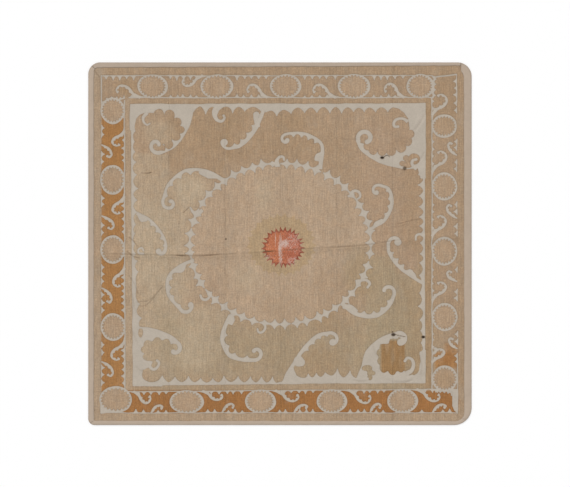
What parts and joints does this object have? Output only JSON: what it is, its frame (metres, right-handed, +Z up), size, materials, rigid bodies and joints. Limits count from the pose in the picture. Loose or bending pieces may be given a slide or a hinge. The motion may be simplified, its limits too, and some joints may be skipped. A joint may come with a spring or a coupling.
{
  "type": "suzani embroidered cover",
  "caption": "Square suzani cover laid flat: cotton loom strips sewn side by side, covered in silk embroidery, with a folded binding round its edge.",
  "frame": {"origin": "middle of the underside's bounding rectangle, at the height of the surface it lies on", "axes": "+X to the right across the loom strips, +Y up the design along them, +Z up off the face"},
  "size_m": [1.96, 1.854, 0.0075],
  "materials": {
    "embroidered_ground": "silk couching stitch on plain cotton, faded",
    "plain_binding": "plain woven cotton, faded"
  },
  "bodies": {
    "root": {"ground_strip_1": "embroidered_ground", "ground_strip_2": "embroidered_ground", "ground_strip_3": "embroidered_ground", "ground_strip_4": "embroidered_ground", "ground_strip_5": "embroidered_ground", "ground_strip_6": "embroidered_ground", "binding_left": "plain_binding", "binding_bottom": "plain_binding", "binding_right": "plain_binding", "binding_top": "plain_binding"}
  },
  "joints": []
}
